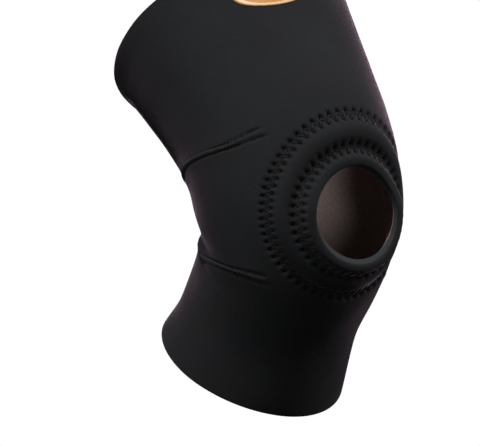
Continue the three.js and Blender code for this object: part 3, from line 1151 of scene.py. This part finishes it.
def softbox(name, azimuth, elevation, size, watts):
    """An oval soft light aimed at the knee, from an azimuth and an elevation in degrees."""
    back = towards(math.radians(azimuth), math.radians(elevation))
    data = bpy.data.lights.new(name, "AREA")
    data.shape = "ELLIPSE"
    data.size, data.size_y = size
    data.energy = watts
    obj = bpy.data.objects.new(name, data)
    obj.location = back * LIGHT_DISTANCE
    obj.rotation_euler = back.to_track_quat("Z", "Y").to_euler()
    bpy.context.scene.collection.objects.link(obj)


def backdrop():
    """A white studio all round, which the camera sees and which sheds no light on the sleeve."""
    world = bpy.data.worlds.new("studio")
    world.use_nodes = True
    sky = world.node_tree.nodes["Background"]
    sky.inputs["Color"].default_value = (1, 1, 1, 1)
    sky.inputs["Strength"].default_value = BACKDROP
    world.cycles_visibility.diffuse = False
    world.cycles_visibility.glossy = False
    bpy.context.scene.world = world


def floor():
    """A pale round floor, low enough for a look from underneath. It sheds no light either."""
    bm = bmesh.new()
    bmesh.ops.create_circle(bm, cap_ends=True, radius=FLOOR_RADIUS, segments=128)
    mesh = bpy.data.meshes.new("floor")
    bm.to_mesh(mesh)
    bm.free()
    obj = bpy.data.objects.new("floor", mesh)
    obj.location = (0, 0, -FLOOR_DEPTH)
    obj.visible_diffuse = False
    obj.visible_glossy = False
    bpy.context.scene.collection.objects.link(obj)
    n = Nodes("pale_floor")
    n.set(Base_Color=(0.8, 0.8, 0.8, 1), Roughness=0.9)
    n.set(Emission_Color=(1, 1, 1, 1), Emission_Strength=BACKDROP)
    mesh.materials.append(n.material)


def studio():
    """Backdrop, floor and five soft lights: one above, one on each side, one in front, one behind."""
    bpy.context.scene.view_settings.view_transform = "Standard"
    backdrop()
    softbox("upper_softbox", -60, 64, (0.9, 0.9), 94)
    softbox("right_rim_softbox", 62, 27, (0.6, 0.6), 43)
    softbox("left_rim_softbox", -106, 8, (0.6, 0.6), 21)
    softbox("front_softbox", -19, -1, (0.3, 0.8), 14)
    softbox("back_softbox", 148, 4, (0.9, 0.9), 34)
    floor()


# -------------------- the sleeve


def place(piece, region, slot, *nodes):
    """Sets what a piece moves with, and hides the plain solids that it stands for. slot is not used."""
    if region == "knee":
        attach(piece, "knee")
    else:
        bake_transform(piece)
    if nodes:
        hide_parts(*nodes)
    return piece


def calf_low(angle):
    return CALF_END + 0 * angle


def thigh_high(angle):
    return THIGH_END + 0 * angle


def cloth_and_lining():
    skins, inside = [jersey(), foam_edge()], lining_cloth()
    thigh = cloth_tube("thigh_cloth", knee_high, thigh_high, THIGH_ROWS, "top", skins)
    calf = cloth_tube("calf_cloth", calf_low, knee_low, CALF_ROWS, "bottom", skins)
    knee = cloth_knee("knee_cloth", skins)
    place(thigh, "thigh", "jersey", "thigh_panel", "upper_bend_panel")
    place(calf, "calf", "jersey", "calf_panel", "lower_bend_panel")
    place(knee, "knee", "jersey", "knee_panel")
    thigh_in = lining_tube("thigh_lining_cloth", knee_high, thigh_high, inside)
    calf_in = lining_tube("calf_lining_cloth", calf_low, knee_low, inside)
    knee_in = lining_knee("knee_lining_cloth", inside)
    place(thigh_in, "thigh", "lining", "thigh_lining", "upper_bend_lining")
    place(calf_in, "calf", "lining", "calf_lining", "lower_bend_lining")
    place(knee_in, "knee", "lining", "knee_lining")


# The back thread stops this far short of the line between two regions, and of an open end.
THREAD_GAP, RIM_GAP = 0.5, 1.0


def stitching():
    thread = thread_material()
    for name, middle in (("inner", INNER_STITCH), ("outer", OUTER_STITCH)):
        piece = ring_thread(f"{name}_ring_thread", middle, thread)
        place(piece, "knee", "thread", f"{name}_ring_stitching")
    for level, dart in (("upper", UPPER_DART), ("lower", LOWER_DART)):
        for side, hand in (("left", -1), ("right", 1)):
            piece = dart_thread(f"{level}_{side}_dart_thread", dart, hand, thread)
            place(piece, "knee", "thread", f"{level}_{side}_dart")
    low, high = KNEE_BOTTOM[1], KNEE_TOP[1]
    back = back_thread("knee_back_thread", low + THREAD_GAP, high - THREAD_GAP, thread)
    place(back, "knee", "thread", "knee_back_seam")
    back = back_thread("thigh_back_thread", high + THREAD_GAP, THIGH_END - RIM_GAP, thread)
    place(back, "thigh", "thread", "thigh_back_seam", "upper_bend_back_seam")
    back = back_thread("calf_back_thread", CALF_END + RIM_GAP, low - THREAD_GAP, thread)
    place(back, "calf", "thread", "calf_back_seam", "lower_bend_back_seam")


def sleeve():
    cloth_and_lining()
    pad = place(pad_ring("buttress_pad", pad_foam()), "knee", "foam", "patella_buttress_pad")
    stitching()
    field = badge_material("badge_field", (0.22, 0.09, 0.014), (0.28, 0.12, 0.02))
    border = badge_material("badge_border", (0.36, 0.23, 0.11), (0.42, 0.28, 0.14))
    place(badge("blank_badge", field, border), "thigh", "badge", "oval_badge")


camera()
studio()
sleeve()
